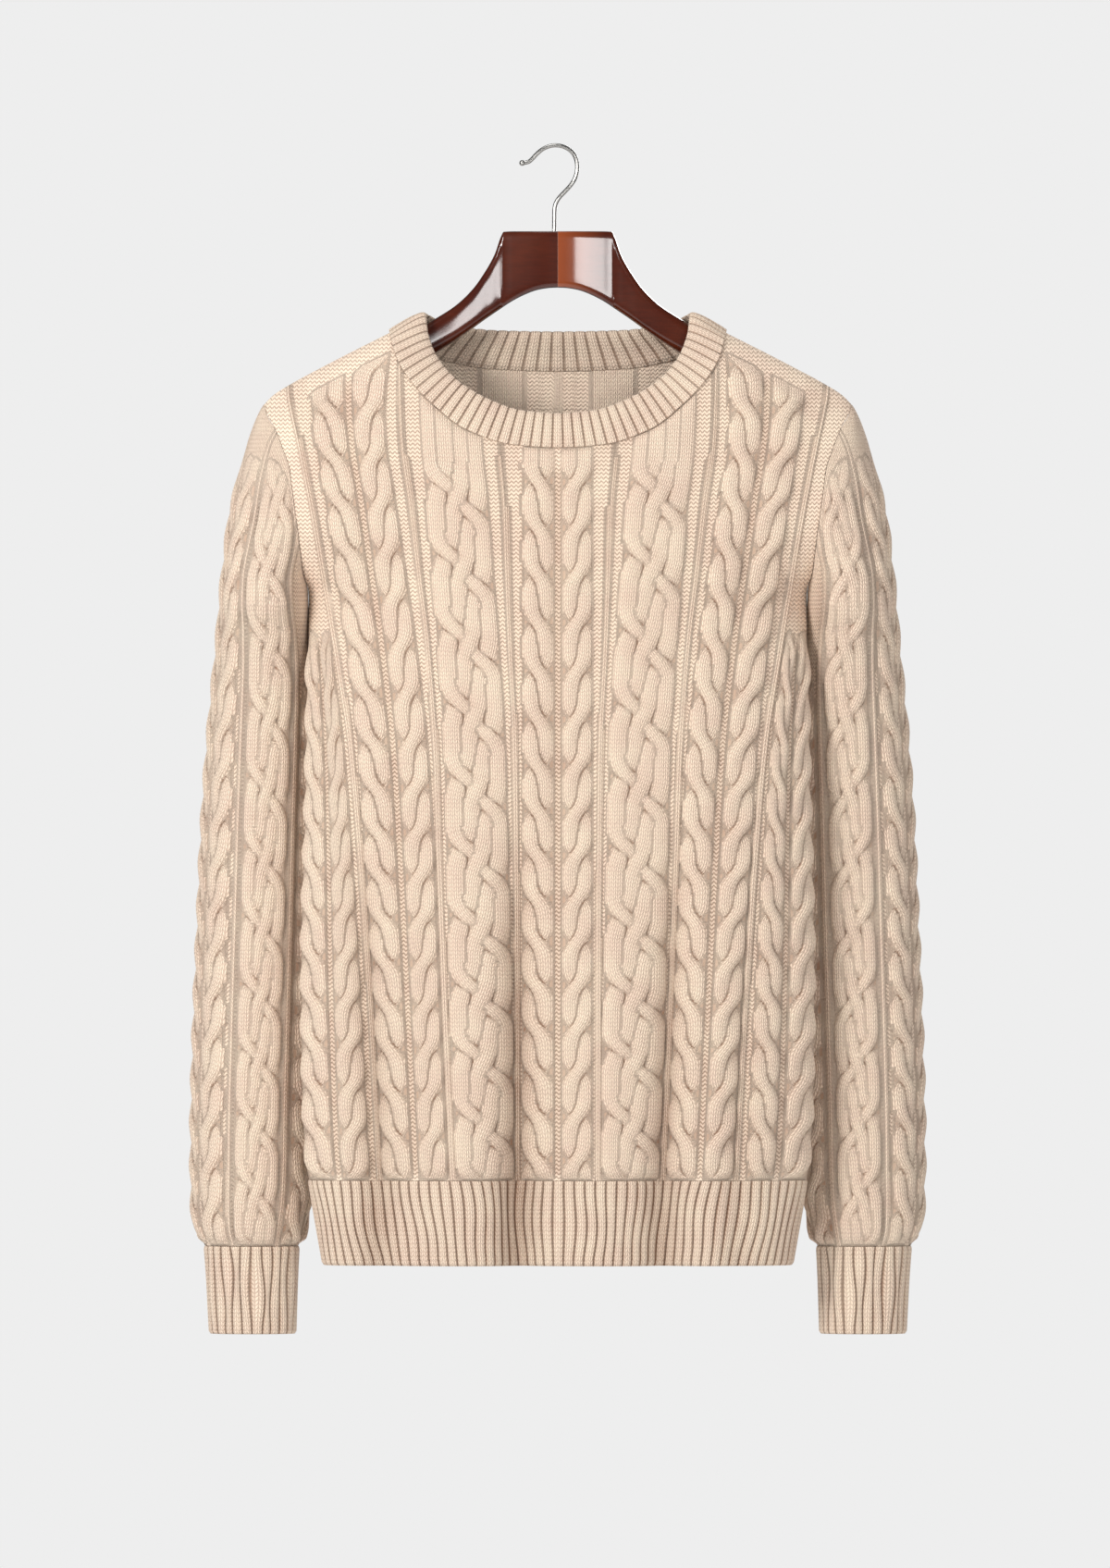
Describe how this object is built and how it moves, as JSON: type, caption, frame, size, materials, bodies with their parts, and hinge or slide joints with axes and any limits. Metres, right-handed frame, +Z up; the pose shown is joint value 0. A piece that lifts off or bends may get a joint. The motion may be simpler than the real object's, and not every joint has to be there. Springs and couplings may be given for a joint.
{
  "type": "cable knit sweater on wooden hanger",
  "caption": "Long-sleeved crew-neck sweater knitted in rope cables, plaits and ribs, hanging on a broad lacquered wooden hanger by its bent wire hook.",
  "frame": {"origin": "underside of the crown of the hanger's hook, where the hook rests on a rail", "axes": "+Z up along the hanging sweater, -Y out of its front, +X towards the right as seen from the front"},
  "size_m": [0.5222, 0.1503, 0.851],
  "materials": {
    "wool": "matt cream wool knit",
    "hanger_wood": "high-gloss mahogany lacquer",
    "hook_steel": "polished"
  },
  "bodies": {
    "root": {"front_panel": "wool", "back_panel": "wool", "sleeve_left": "wool", "sleeve_right": "wool", "cuff_left": "wool", "cuff_right": "wool", "hem_band": "wool", "neckband": "wool", "hanger_arm_left": "hanger_wood", "hanger_arm_right": "hanger_wood", "hanger_hook": "hook_steel"}
  },
  "joints": []
}
